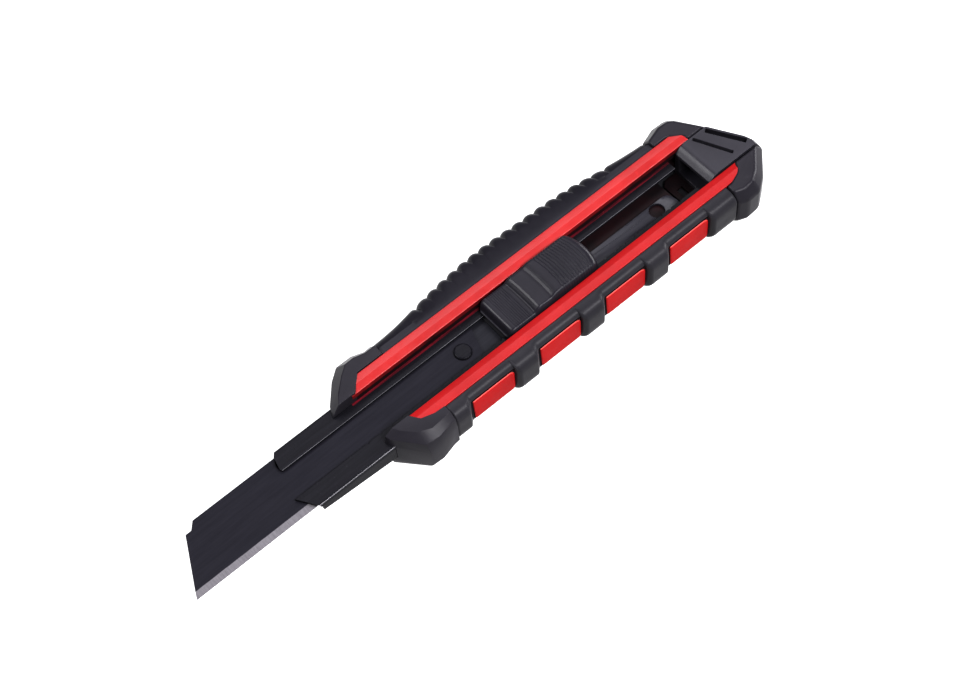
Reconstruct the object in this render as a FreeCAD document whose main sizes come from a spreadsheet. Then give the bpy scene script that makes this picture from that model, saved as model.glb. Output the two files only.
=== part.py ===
import FreeCAD, Part
import os
import math
import Sketcher
from FreeCAD import Vector, Placement, Rotation

# Utility knife with a snap-off blade.
# Working frame while building: X runs from the blade tip (0) to the rear end,
# +Y is the spine side, -Y is the cutting-edge side, Z = 0 is the flat back face.
# At the end every piece is shifted so that the origin is the bottom centre of the whole knife.

doc = FreeCAD.newDocument("utility_knife")
sheet = doc.addObject("Spreadsheet::Sheet", "Sizes")

SIZES = [
    # blade
    ("blade_half", 9.0), ("blade_thick", 0.5), ("blade_low", 7.8), ("blade_tail", 101.5),
    ("pin_place", 93.5), ("tail_hole_radius", 2.5), ("bevel_width", 1.95), ("segment_pitch", 11.2),
    # steel rail
    ("rail_half", 10.0), ("rail_wall", 0.8), ("rail_floor_low", 6.0), ("rail_floor_thick", 0.9),
    ("lip_low", 8.5), ("lip_thick", 0.8), ("lip_edge", 4.25), ("rail_front", 34.0), ("rail_rear", 173.5),
    ("floor_front", 40.5), ("floor_rear", 168.0), ("slot_edge", 1.1), ("slot_front", 108.0),
    ("floor_hole_place", 161.5), ("floor_hole_radius", 2.2), ("notch_pitch", 3.35), ("notch_first", 58.3),
    ("skirt_low", 3.7), ("skirt_rear", 80.0),
    # red body
    ("body_front", 62.5), ("body_rear", 184.0), ("body_half", 12.6), ("body_low", 1.75),
    ("rail_gap", 7.12), ("stripe_outer", 11.24), ("stripe_top", 13.1), ("stripe_inner_top", 12.55),
    ("slot_low", 5.95), ("slot_high", 9.42), ("web_low", 5.2), ("magazine_half", 9.16),
    ("window_first", 85.1), ("window_pitch", 23.03), ("window_length", 13.75), ("window_low", 2.2),
    ("window_high", 11.1), ("window_face", 14.25), ("window_count", 4),
    # back cover
    ("cover_thick", 1.7), ("cover_half", 12.5), ("screw_radius", 1.0), ("screw_head_radius", 1.8),
    # slider
    ("slider_front", 104.0), ("slider_rear", 137.7), ("foot_half", 8.85), ("foot_low", 7.72),
    ("foot_thick", 0.62), ("neck_half", 3.3), ("carrier_low", 7.05), ("carrier_thick", 0.6),
    ("carrier_front", 88.5), ("carrier_rear", 136.0), ("pin_radius", 2.42), ("pin_top", 8.95),
    ("shell_low", 10.25), ("press_stroke", 0.8), ("spring_radius", 1.9), ("spring_wire", 0.3),
    # end cap
    ("cap_front", 175.9), ("cap_low", 1.85), ("cap_top", 13.1), ("cap_spine", 6.85), ("cap_edge", 6.6),
    # grips
    ("grip_face", 14.3), ("bump_face", 16.1), ("grip_low", 0.5), ("ridge_pitch", 3.85), ("ridge_first", 94.7),
    ("ridge_count", 17), ("ridge_depth", 1.0), ("bumper_top", 13.6),
    ("slide_out", 37.0), ("slide_in", 38.0), ("cap_travel", 14.0),
]
for row, (alias, value) in enumerate(SIZES, start=1):
    sheet.set("A%d" % row, alias)
    sheet.set("B%d" % row, str(value))
    sheet.setAlias("B%d" % row, alias)
doc.recompute()


def size(alias):
    return float(sheet.get(alias))


def cell(alias):
    return "Sizes." + alias


# ---------------------------------------------------------------- helpers
def origin_plane(body, role):
    for feature in body.Origin.OriginFeatures:
        if feature.Role == role:
            return feature
    raise RuntimeError("no plane " + role)


def new_body(label):
    body = doc.addObject("PartDesign::Body", label)
    body.Label = label
    return body


def sketch(body, name, role, loops=(), circles=(), offset=0.0):
    sk = body.newObject("Sketcher::SketchObject", name)
    sk.AttachmentSupport = [(origin_plane(body, role), "")]
    sk.MapMode = "FlatFace"
    sk.AttachmentOffset = Placement(Vector(0, 0, offset), Rotation())
    for loop in loops:
        ids = []
        for i, (ax, ay) in enumerate(loop):
            bx, by = loop[(i + 1) % len(loop)]
            ids.append(sk.addGeometry(Part.LineSegment(Vector(ax, ay, 0), Vector(bx, by, 0)), False))
        for i in range(len(ids)):
            sk.addConstraint(Sketcher.Constraint("Coincident", ids[i], 2, ids[(i + 1) % len(ids)], 1))
    for cx, cy, radius in circles:
        k = sk.addGeometry(Part.Circle(Vector(cx, cy, 0), Vector(0, 0, 1), 1.0), False)
        number = sk.addConstraint(Sketcher.Constraint("Radius", k, 1.0))
        sk.setExpression("Constraints[%d]" % number, cell(radius))
    return sk


def pad(body, name, sk, length, reverse=False):
    feature = body.newObject("PartDesign::Pad", name)
    feature.Profile = sk
    if isinstance(length, str):
        feature.setExpression("Length", length)
    else:
        feature.Length = length
    feature.Reversed = reverse
    sk.Visibility = False
    return feature


def pocket(body, name, sk, length):
    """A pocket that cuts equally to both sides of its sketch plane."""
    doc.recompute()
    before = body.Shape.Volume
    feature = body.newObject("PartDesign::Pocket", name)
    feature.Profile = sk
    feature.Midplane = True
    if isinstance(length, str):
        feature.setExpression("Length", length)
    else:
        feature.Length = length
    doc.recompute()
    if not body.Shape.Volume < before - 1e-6:
        raise RuntimeError(name + " cut nothing")
    return feature


def feature(label, shape):
    obj = doc.addObject("Part::Feature", label)
    obj.Label = label
    obj.Shape = shape
    return obj


def box(x0, x1, y0, y1, z0, z1):
    return Part.makeBox(x1 - x0, y1 - y0, z1 - z0, Vector(x0, y0, z0))


def prism_xy(points, z0, z1):
    wire = Part.makePolygon([Vector(x, y, z0) for x, y in points] + [Vector(points[0][0], points[0][1], z0)])
    return Part.Face(wire).extrude(Vector(0, 0, z1 - z0))


def prism_yz(points, x0, x1):
    wire = Part.makePolygon([Vector(x0, y, z) for y, z in points] + [Vector(x0, points[0][0], points[0][1])])
    return Part.Face(wire).extrude(Vector(x1 - x0, 0, 0))


def prism_xz(points, y0, y1):
    wire = Part.makePolygon([Vector(x, y0, z) for x, z in points] + [Vector(points[0][0], y0, points[0][1])])
    return Part.Face(wire).extrude(Vector(0, y1 - y0, 0))


def facet_block(levels):
    """Closed faceted solid through outlines of equal point count, one per height."""
    rings = [[Vector(x, y, z) for x, y in pts] for z, pts in levels]
    faces = [Part.Face(Part.makePolygon(rings[0] + [rings[0][0]])), Part.Face(Part.makePolygon(rings[-1] + [rings[-1][0]]))]
    for low, high in zip(rings, rings[1:]):
        count = len(low)
        for i in range(count):
            a, b, c, d = low[i], low[(i + 1) % count], high[(i + 1) % count], high[i]
            quad = [a, b, c, d]
            unique = []
            for p in quad:
                if all(p.distanceToPoint(q) > 1e-7 for q in unique):
                    unique.append(p)
            if len(unique) < 3:
                continue
            if len(unique) == 3:
                faces.append(Part.Face(Part.makePolygon(unique + [unique[0]])))
                continue
            normal = (b - a).cross(c - a)
            flat = normal.Length < 1e-9 or abs((d - a).dot(normal)) / normal.Length < 1e-5
            if flat:
                faces.append(Part.Face(Part.makePolygon([a, b, c, d, a])))
            else:
                faces.append(Part.Face(Part.makePolygon([a, b, c, a])))
                faces.append(Part.Face(Part.makePolygon([a, c, d, a])))
    solid = Part.makeSolid(Part.makeShell(faces))
    if solid.Volume < 0:
        solid.reverse()
    return solid


def solids_only(shape):
    keep = [s for s in shape.Solids if s.Volume > 0.05]
    if len(keep) == 1:
        return keep[0]
    return Part.makeCompound(keep)


# ---------------------------------------------------------------- blade
blade_outline = [(0.0, -size("blade_half")), (8.3, 6.95), (10.1, 6.95), (12.0, size("blade_half")),
                 (size("blade_tail"), size("blade_half")), (size("blade_tail") - 6.0, -size("blade_half"))]


def make_blade(label, low):
    body = new_body(label)
    sk = sketch(body, label + "_outline", "XY_Plane", [blade_outline], offset=low)
    pad(body, label + "_plate", sk, cell("blade_thick"))
    hole = sketch(body, label + "_hole_sketch", "XY_Plane", circles=[(size("pin_place"), 0, "tail_hole_radius")], offset=low)
    pocket(body, label + "_hole", hole, 4.0)
    top = low + size("blade_thick")
    w = size("bevel_width")
    e = size("blade_half")
    bevels = sketch(body, label + "_bevel_sketch", "YZ_Plane",
                    [[(-e - 1.0, top + 0.12), (-e + w, top), (-e - 1.0, top - 0.30)],
                     [(-e - 1.0, low - 0.12), (-e - 1.0, low + 0.30), (-e + w, low)]])
    pocket(body, label + "_bevel", bevels, 500.0)
    cuts = []
    for i in range(1, 8):
        x = i * size("segment_pitch")
        cuts.append([(x, -8.7), (x + 0.16, -8.7), (x + 0.16 + 9.3, 8.8), (x + 9.3, 8.8)])
    score = sketch(body, label + "_score_sketch", "XY_Plane", cuts, offset=low)
    pocket(body, label + "_score", score, 0.24)
    return body


blade = make_blade("blade", size("blade_low"))

# ---------------------------------------------------------------- steel rail
rail = new_body("blade_rail")
rh, rw = size("rail_half"), size("rail_wall")
fl, ft = size("rail_floor_low"), size("rail_floor_thick")
ll, lt, le = size("lip_low"), size("lip_thick"), size("lip_edge")
profile = [(-rh, fl), (rh, fl), (rh, ll + lt), (le, ll + lt), (le, ll), (rh - rw, ll), (rh - rw, fl + ft),
           (-rh + rw, fl + ft), (-rh + rw, ll), (-le, ll), (-le, ll + lt), (-rh, ll + lt)]
sk = sketch(rail, "rail_profile", "YZ_Plane", [profile], offset=size("rail_front"))
pad(rail, "rail_channel", sk, cell("rail_rear") + " - " + cell("rail_front"))
# nose outline of the two lips
nose = [(20, -12), (38.5, -12), (38.3, -10.2), (34.2, -3.8), (34.2, 3.0), (37.3, 3.9), (36.4, 5.7), (37.6, 8.5),
        (39.0, 10.2), (39.0, 12), (20, 12)]
pocket(rail, "rail_nose", sketch(rail, "nose_outline", "XY_Plane", [nose], offset=8.0), 12.0)
ff = size("floor_front")
floor_cut = sketch(rail, "floor_front_outline", "XY_Plane", [[(20, -12), (ff, -12), (ff, 12), (20, 12)]], offset=fl)
pocket(rail, "floor_front_cut", floor_cut, 2.0 * ft + 0.6)
# open slot beside the floor strip, and the rounded rear corner of the strip
fr = size("floor_rear")
se = size("slot_edge")
inner = rh - rw
slot = [(size("slot_front"), se), (fr - 2.0, se), (fr - 1.2, se - 0.25), (fr - 0.5, se - 0.8), (fr - 0.1, se - 1.5),
        (fr, se - 2.4), (fr, -inner + 0.01), (size("rail_rear") + 1, -inner + 0.01), (size("rail_rear") + 1, inner - 0.01),
        (size("slot_front"), inner - 0.01)]
pocket(rail, "rail_slot", sketch(rail, "slot_outline", "XY_Plane", [slot], offset=fl), 2.0 * ft + 0.2)
pocket(rail, "rail_holes", sketch(rail, "rail_holes_sketch", "XY_Plane",
                                  circles=[(size("floor_hole_place"), -1.3, "floor_hole_radius")], offset=fl), 2.0 * ft + 0.2)
pocket(rail, "rivet_holes", sketch(rail, "rivet_holes_sketch", "XY_Plane",
                                   [[(72 + 1.55 * math.cos(a * math.pi / 12), 1.55 * math.sin(a * math.pi / 12)) for a in range(24)],
                                    [(98 + 1.55 * math.cos(a * math.pi / 12), 1.55 * math.sin(a * math.pi / 12)) for a in range(24)]],
                                   offset=fl), 2.0 * ft + 0.2)
# lock notches along the inner edge of the lower lip
notches = []
x = size("notch_first")
while x < 171.0:
    notches.append([(x - 0.75, -le + 0.3), (x - 0.62, -le - 0.05), (x - 0.25, -le - 0.6), (x + 0.25, -le - 0.6),
                    (x + 0.62, -le - 0.05), (x + 0.75, -le + 0.3)])
    x += size("notch_pitch")
pocket(rail, "lock_notches", sketch(rail, "notch_outline", "XY_Plane", notches, offset=ll), 2.0 * lt + 0.2)
# support pad under the blade at the nose
pad(rail, "nose_pad", sketch(rail, "nose_pad_outline", "XY_Plane",
                             [[(ff, -8.0), (51.0, -8.0), (51.0, 8.0), (ff, 8.0)]], offset=fl + ft - 0.05), 0.70)
# tapered skirts below the side walls
for side, name in ((1, "spine"), (-1, "edge")):
    y_start = (rh if side > 0 else -(rh - rw))
    skirt = sketch(rail, "skirt_" + name, "XZ_Plane",
                   [[(39.6, fl + 0.3), (size("skirt_rear"), fl + 0.3), (size("skirt_rear"), size("skirt_low")),
                     (61.5, size("skirt_low")), (40.6, fl - 0.15)]], offset=-y_start)
    pad(rail, "skirt_pad_" + name, skirt, cell("rail_wall"))
doc.recompute()

# ---------------------------------------------------------------- rail rivets
rivets = Part.makeCompound([Part.makeCylinder(1.5, fl + ft - size("web_low") - 0.02, Vector(x, 0, size("web_low"))) for x in (72, 98)])
feature("rail_rivets", rivets)

# ---------------------------------------------------------------- red handle body
body = new_body("handle_body")
bh, bl = size("body_half"), size("body_low")
rg, so, st, si = size("rail_gap"), size("stripe_outer"), size("stripe_top"), size("stripe_inner_top")
sl, sh, wl, mh = size("slot_low"), size("slot_high"), size("web_low"), size("magazine_half")
sy = rh + 0.06
half = [(mh, bl), (bh, bl), (bh, 11.5), (so, 12.15), (so, st - 0.25), (so - 0.35, st), (9.15, st), (rg, si), (rg, sh),
        (sy, sh), (sy, sl)]
profile = half + [(-y, z) for y, z in reversed(half)] + [(-mh, wl), (mh, wl)]
sk = sketch(body, "body_profile", "YZ_Plane", [profile], offset=size("body_front"))
pad(body, "body_channel", sk, cell("body_rear") + " - " + cell("body_front"))
w0, wp, wn = size("window_first"), size("window_pitch"), int(size("window_count"))
zl, zh = size("window_low"), size("window_high")
pads = []
for k in range(wn):
    a = w0 + k * wp
    b = a + size("window_length")
    pads.append([(a, zl), (b - 0.2, zl), (b - 0.2, zh), (a - 0.3, zh)])
sk = sketch(body, "window_outline", "XZ_Plane", pads, offset=bh - 0.3)
pad(body, "window_pads", sk, cell("window_face") + " - " + cell("body_half") + " + 0.3")
doc.recompute()
# slots for the rail skirts at the front
for side, name in ((1, "spine"), (-1, "edge")):
    y0, y1 = rh - rw - 0.06, rh + 0.06
    loop = [(side * y0, size("skirt_low") - 0.1), (side * y1, size("skirt_low") - 0.1), (side * y1, sl + 0.2), (side * y0, sl + 0.2)]
    pocket(body, "skirt_slot_" + name, sketch(body, "skirt_slot_outline_" + name, "YZ_Plane", [loop], offset=size("body_front")),
           2.0 * (size("skirt_rear") + 0.4 - size("body_front")))
# opening for the end cap and the well in front of it
well = [(168.2, -8.6), (174.6, -8.6), (174.6, -(size("cap_edge") + 0.5)), (190, -(size("cap_edge") + 0.5)),
        (190, size("cap_spine") + 0.25), (174.6, size("cap_spine") + 0.25), (174.6, 8.6), (168.2, 8.6)]
pocket(body, "cap_well", sketch(body, "well_outline", "XY_Plane", [well], offset=5.5), 8.0)
pocket(body, "body_rivet_holes", sketch(body, "body_rivet_sketch", "XY_Plane",
                                       [[(x + 1.55 * math.cos(a * math.pi / 12), 1.55 * math.sin(a * math.pi / 12)) for a in range(24)]
                                        for x in (72, 98)], offset=5.5), 1.2)
# slanted rail ends in plan, front and rear, and screw holes from the back
ends = [
    [(60, 7.0), (63.9, 7.0), (68.1, 11.5), (68.1, 14), (60, 14)],
    [(60, -14), (76.0, -14), (75.1, -10.9), (71.4, -9.9), (69.4, -7.0), (60, -7.0)],
    [(186, 7.0), (180.6, 7.0), (180.5, 8.3), (176.9, 11.3), (176.9, 14), (186, 14)],
    [(186, -14), (179.0, -14), (179.0, -10.7), (182.9, -9.9), (184.6, -7.4), (184.6, -7.0), (186, -7.0)],
]
pocket(body, "rail_ends", sketch(body, "rail_end_outline", "XY_Plane", ends, offset=13.5), 2.0 * (13.5 - 1.0))
screws_at = [(88.0, 10.5), (88.0, -10.5), (160.0, 10.5), (160.0, -10.5)]
pocket(body, "screw_holes", sketch(body, "screw_hole_sketch", "XY_Plane", circles=[(x, y, "screw_radius") for x, y in screws_at], offset=bl), 11.0)
doc.recompute()

# ---------------------------------------------------------------- back cover and its screws
cover = new_body("back_cover")
ch = size("cover_half")
cover_outline = [(62.6, -7.4), (70.5, -ch), (176.5, -ch), (188.5, -7.6), (191.0, -4.2), (187.2, 6.9), (176.5, ch), (68.6, ch), (63.4, 7.4)]
sk = sketch(cover, "cover_outline", "XY_Plane", [cover_outline])
pad(cover, "cover_plate", sk, cell("cover_thick"))
pocket(cover, "cover_screw_holes", sketch(cover, "cover_screw_sketch", "XY_Plane", circles=[(x, y, "screw_radius") for x, y in screws_at]), 6.0)
doc.recompute()
cone_r, cone_d = size("screw_head_radius"), 0.95
sk = sketch(cover, "countersink_sketch", "XY_Plane", circles=[(x, y, "screw_head_radius") for x, y in screws_at], offset=0.0)
pocket(cover, "cover_counterbores", sk, 1.5)
# finger grooves across the plate
grooves = [[(x, -6.5), (x + 0.9, -6.5), (x + 0.9, 6.5), (x, 6.5)] for x in [100 + 6.0 * i for i in range(9)]]
pocket(cover, "cover_grooves", sketch(cover, "cover_groove_outline", "XY_Plane", grooves), 0.8)
doc.recompute()

screw_shapes = []
for x, y in screws_at:
    shank = Part.makeCylinder(size("screw_radius") - 0.02, 4.9, Vector(x, y, 0.7))
    head = Part.makeCylinder(cone_r - 0.05, 0.55, Vector(x, y, 0.18))
    one = shank.fuse(head)
    slot_a = box(x - 1.2, x + 1.2, y - 0.25, y + 0.25, 0.0, 0.42)
    slot_b = box(x - 0.25, x + 0.25, y - 1.2, y + 1.2, 0.0, 0.42)
    screw_shapes.append(one.cut(slot_a).cut(slot_b))
feature("cover_screws", Part.makeCompound(screw_shapes))

# ---------------------------------------------------------------- spare blades and their leaf spring
spares = []
spare_wire = Part.makePolygon([Vector(x + 66.0, y, 0) for x, y in blade_outline] + [Vector(66.0, -9.0, 0)])
spare_plate = Part.Face(spare_wire).extrude(Vector(0, 0, 0.48))
spare_plate = spare_plate.cut(Part.makeCylinder(2.5, 3, Vector(66.0 + size("pin_place"), 0, -1)))
for k in range(3):
    one = spare_plate.copy()
    one.translate(Vector(0, 0, 2.85 + 0.52 * k))
    spares.append(one)
feature("spare_blades", Part.makeCompound(spares))
leaf_points = [(80.0, 1.75), (92.0, 1.75), (110.0, 2.5), (120.0, 2.55), (138.0, 1.80), (138.0, 1.95), (120.0, 2.75), (110.0, 2.7), (92.0, 1.98), (80.0, 1.98)]
feature("magazine_leaf", prism_xz(leaf_points, -4.0, 4.0))

# ---------------------------------------------------------------- slider foot, carrier, pin
foot = new_body("slider_base")
x0, x1 = size("slider_front"), size("slider_rear")
fh = size("foot_half")
sk = sketch(foot, "foot_outline", "XY_Plane", [[(x0 + 0.8, -fh), (x1 - 1.0, -fh), (x1, -fh + 1.5), (x1, fh - 1.5), (x1 - 1.0, fh), (x0 + 0.8, fh), (x0, fh - 1.5), (x0, -fh + 1.5)]],
            offset=size("foot_low"))
pad(foot, "foot_plate", sk, cell("foot_thick"))
nk = size("neck_half")
sk = sketch(foot, "neck_outline", "XY_Plane", [[(x0 + 3.2, -nk), (x1 - 3.8, -nk), (x1 - 3.8, nk), (x0 + 3.2, nk)]], offset=size("foot_low") + 0.3)
pad(foot, "foot_neck", sk, 3.3)
pocket(foot, "pawl_window", sketch(foot, "pawl_window_outline", "XY_Plane", [[(117.2, -5.4), (126.8, -5.4), (126.8, -3.32), (117.2, -3.32)]], offset=size("foot_low")), 2.0)
pocket(foot, "spring_seat", sketch(foot, "spring_seat_sketch", "XY_Plane",
                                   [[(121 + 2.2 * math.cos(a * math.pi / 12), 2.2 * math.sin(a * math.pi / 12)) for a in range(24)]], offset=11.4), 3.4)
pocket(foot, "base_rivet_hole", sketch(foot, "base_rivet_sketch", "XY_Plane",
                                       [[(111.5 + 1.3 * math.cos(a * math.pi / 12), 1.3 * math.sin(a * math.pi / 12)) for a in range(24)]], offset=size("foot_low")), 14.0)
doc.recompute()

carrier = new_body("blade_carrier")
cf, cr = size("carrier_front"), size("carrier_rear")
sk = sketch(carrier, "carrier_outline", "XY_Plane",
            [[(cf + 1.5, -4.6), (100.0, -4.6), (103.5, -8.4), (cr - 1.5, -8.4), (cr, -6.9), (cr, 6.9), (cr - 1.5, 8.4), (103.5, 8.4), (100.0, 4.6), (cf + 1.5, 4.6), (cf, 3.1), (cf, -3.1)]],
            offset=size("carrier_low"))
pad(carrier, "carrier_plate", sk, cell("carrier_thick"))
pocket(carrier, "carrier_holes", sketch(carrier, "carrier_hole_sketch", "XY_Plane",
                                       [[(111.5 + 1.3 * math.cos(a * math.pi / 12), 1.3 * math.sin(a * math.pi / 12)) for a in range(24)],
                                        [(size("pin_place") + 1.6 * math.cos(a * math.pi / 12), 1.6 * math.sin(a * math.pi / 12)) for a in range(24)]],
                                       offset=size("carrier_low")), 2.0)
doc.recompute()

pin = doc.addObject("Part::Cylinder", "pin_head")
pin.setExpression("Radius", cell("pin_radius"))
pin.setExpression("Height", cell("pin_top") + " - " + cell("carrier_low") + " - " + cell("carrier_thick"))
pin.Placement = Placement(Vector(size("pin_place"), 0, size("carrier_low") + size("carrier_thick")), Rotation())
pin_low = doc.addObject("Part::Cylinder", "pin_shank")
pin_low.Radius = 1.58
pin_low.setExpression("Height", cell("carrier_thick"))
pin_low.Placement = Placement(Vector(size("pin_place"), 0, size("carrier_low")), Rotation())
pin_both = doc.addObject("Part::Fuse", "pin_union")
pin_both.Base = pin
pin_both.Tool = pin_low
doc.recompute()
pin_top_edges = []
for i, edge in enumerate(pin_both.Shape.Edges, start=1):
    if edge.BoundBox.ZMin > size("pin_top") - 0.01 and edge.Closed:
        pin_top_edges.append((i, 0.25, 0.25))
carrier_pin = doc.addObject("Part::Chamfer", "carrier_pin")
carrier_pin.Base = pin_both
carrier_pin.Edges = pin_top_edges
carrier_pin.Label = "carrier_pin"
doc.recompute()

rivet = Part.makeCylinder(1.28, 2.6, Vector(111.5, 0, size("carrier_low")))
feature("base_rivet", rivet)

# ---------------------------------------------------------------- thumb pad, pawl, spring
shell_low = size("shell_low")
top_line = [(104.3, shell_low), (104.6, 11.3), (105.6, 12.6), (106.9, 13.2), (113.2, 13.3), (114.3, 13.9), (115.2, 14.5),
            (116.0, 14.45), (117.6, 13.95), (119.2, 14.1), (120.4, 14.9), (121.2, 15.15), (122.2, 14.95), (134.4, 14.8),
            (135.6, 14.3), (136.7, 13.2), (137.4, 11.6), (137.65, shell_low)]
side = prism_xz(top_line, -8.0, 8.0)
section = prism_yz([(-6.75, shell_low - 1), (6.75, shell_low - 1), (6.7, 11.5), (6.25, 14.3), (5.7, 15.0), (5.0, 15.6), (-5.0, 15.6),
                    (-5.7, 15.0), (-6.25, 14.3), (-6.7, 11.5)], 100.0, 142.0)
plan = prism_xy([(104.0, -3.9), (105.4, -5.6), (107.4, -6.75), (135.4, -6.75), (136.9, -5.9), (137.7, -4.2), (137.7, 4.2),
                 (136.9, 5.9), (135.4, 6.75), (107.4, 6.75), (105.4, 5.6), (104.0, 3.9)], 8.0, 17.0)
shell = side.common(section).common(plan)
# fine cross ribs as shallow grooves
for k in range(5):
    gx = 107.9 + 1.12 * k
    shell = shell.cut(box(gx, gx + 0.42, -7, 7, 13.28 - 0.22, 14.2))
for k in range(10):
    gx = 123.3 + 1.12 * k
    shell = shell.cut(box(gx, gx + 0.42, -7, 7, 14.55, 15.6))
shell = shell.cut(box(106.9, 134.7, -4.9, 4.9, shell_low - 1, 12.45))
feature("thumb_slider", solids_only(shell))

pawl = box(118.2, 125.8, -4.1, -3.5, 8.62, 12.45)
teeth = []
x = size("notch_first")
while x < 118.6:
    x += size("notch_pitch")
pawl_x = x
tooth = prism_xy([(pawl_x - 0.55, -4.0), (pawl_x - 0.35, -4.21), (pawl_x + 0.35, -4.21), (pawl_x + 0.55, -4.0)], 8.62, 9.2)
pawl = pawl.fuse(tooth).fuse(box(118.2, 125.8, -4.1, -2.4, 12.15, 12.45))
feature("lock_pawl", solids_only(pawl.removeSplitter()))

sr, sw = size("spring_radius"), size("spring_wire")
coil_low, coil_high = 9.72, 12.43
rings = []
levels = 5
for k in range(levels):
    z = coil_low + sw + k * (coil_high - coil_low - 2 * sw) / (levels - 1)
    rings.append(Part.makeTorus(sr - sw, sw * 0.98, Vector(121, 0, z)))
step = (coil_high - coil_low - 2 * sw) / (levels - 1)
spring = rings[0]
for ring in rings[1:]:
    spring = spring.fuse(ring)
for k in range(levels - 1):
    z = coil_low + sw + k * step
    angle = 90.0 * k
    cx = 121 + (sr - sw) * math.cos(math.radians(angle))
    cy = (sr - sw) * math.sin(math.radians(angle))
    spring = spring.fuse(Part.makeCylinder(sw * 0.8, step, Vector(cx, cy, z)))
feature("button_spring", solids_only(spring))

# ---------------------------------------------------------------- end cap
cap_x, cl, ct = size("cap_front"), size("cap_low"), size("cap_top")
cs, ce = size("cap_spine"), size("cap_edge")
cap_plan = [(cap_x, -ce), (cap_x, cs), (187.4, cs), (192.9, -2.6), (193.6, -4.8), (193.4, -ce)]
low_plan = [(cap_x, -ce), (cap_x, cs), (189.2, cs), (195.0, -2.9), (195.9, -4.8), (195.7, -ce)]
cap = facet_block([(cl, [(cap_x, -ce), (cap_x, cs), (188.6, cs), (194.2, -2.9), (194.9, -4.8), (194.7, -ce)]),
                   (3.4, low_plan), (9.0, low_plan), (12.2, [(cap_x, -ce), (cap_x, cs), (188.0, cs), (193.6, -2.7), (194.3, -4.8), (194.1, -ce)]), (13.6, cap_plan)])
cap_top_shape = prism_xz([(cap_x, cl - 1), (cap_x, 11.7), (178.5, 13.25), (179.1, 13.4), (179.9, ct), (199, ct), (199, cl - 1)], -10, 10)
cap = cap.common(cap_top_shape)
# hollow under the panel
cap = cap.cut(box(178.0, 186.0, -5.2, 5.2, 4.2, 10.8))
cap = cap.cut(box(cap_x - 1, 179.0, -5.2, 5.2, 4.2, 9.6))
# two grooves parallel to the slanted rear edge
rear_dir = Vector(192.9 - 187.4, -2.6 - cs, 0)
for dist, wide in ((1.15, 0.5), (4.3, 0.45)):
    nrm = Vector(-rear_dir.y, rear_dir.x, 0)
    nrm.normalize()
    if nrm.x > 0:
        nrm = nrm * -1
    along = Vector(rear_dir)
    along.normalize()
    p0 = Vector(187.4, cs, 0) + nrm * dist + along * 0.9
    p1 = Vector(192.9, -2.6, 0) + nrm * dist - along * 0.6
    q0, q1 = p0 + nrm * wide, p1 + nrm * wide
    cap = cap.cut(prism_xy([(p0.x, p0.y), (p1.x, p1.y), (q1.x, q1.y), (q0.x, q0.y)], ct - 0.45, ct + 1))
feature("end_cap", solids_only(cap))
tongue = prism_xy([(170.3, -5.0), (171.8, -6.3), (cap_x, -6.3), (cap_x, 6.3), (171.8, 6.3), (170.3, 5.0)], 2.0, 2.75)
tongue = tongue.cut(box(172.0, 174.0, -2.0, 2.0, 1.0, 4.0))
feature("cap_tongue", tongue)

# ---------------------------------------------------------------- spine grip
spine_line = [(76.3, 17.0), (80.2, 17.1), (85.1, 17.4), (92.6, 18.7), (101.1, 20.1), (109.6, 20.8), (116.1, 21.15), (122.2, 20.9),
              (130.7, 20.4), (139.3, 20.3), (147.9, 19.5), (156.4, 18.0), (165.0, 16.7), (172.1, 16.1)]


def on_line(line, x):
    for (xa, ya), (xb, yb) in zip(line, line[1:]):
        if xa <= x <= xb:
            return ya + (yb - ya) * (x - xa) / (xb - xa)
    return line[0][1] if x < line[0][0] else line[-1][1]


pitch, first, count, depth = size("ridge_pitch"), size("ridge_first"), int(size("ridge_count")), size("ridge_depth")
edges = []
start_x = first - pitch / 2
end_x = first + pitch * (count - 0.5)


def ridge_depth_at(i):
    return depth * min(1.0, 0.45 + 0.2 * min(i, count - i))


pts = [Vector(76.3, 11.3, 0), Vector(76.3, 17.0, 0), Vector(80.2, 17.1, 0), Vector(85.1, 17.4, 0)]
pts.append(Vector(start_x, on_line(spine_line, start_x) - 0.35, 0))
for a, b in zip(pts, pts[1:]):
    edges.append(Part.makeLine(a, b))
last = pts[-1]
for i in range(count):
    xc = first + pitch * i
    xb = xc + pitch / 2
    mid = Vector(xc, on_line(spine_line, xc), 0)
    end = Vector(xb, on_line(spine_line, xb) - ridge_depth_at(i + 1), 0)
    edges.append(Part.Arc(last, mid, end).toShape())
    last = end
tail = [last, Vector(165.0, 16.7, 0), Vector(172.1, 16.1, 0), Vector(172.1, 11.3, 0), Vector(76.3, 11.3, 0)]
for a, b in zip(tail, tail[1:]):
    edges.append(Part.makeLine(a, b))
grip_plan = Part.Face(Part.Wire(edges)).extrude(Vector(0, 0, 20))
section = prism_yz([(so + 0.02, 12.95), (12.6, 12.8), (17.5, 11.9), (23.0, 9.0), (23.0, 4.0), (18.5, 0.9), (17.0, 0.5), (bh + 0.03, 0.5), (bh + 0.03, 11.53), (so + 0.02, 12.2)],
                   70.0, 180.0)
spine_grip = grip_plan.common(section)
feature("spine_grip", solids_only(spine_grip))

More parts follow.
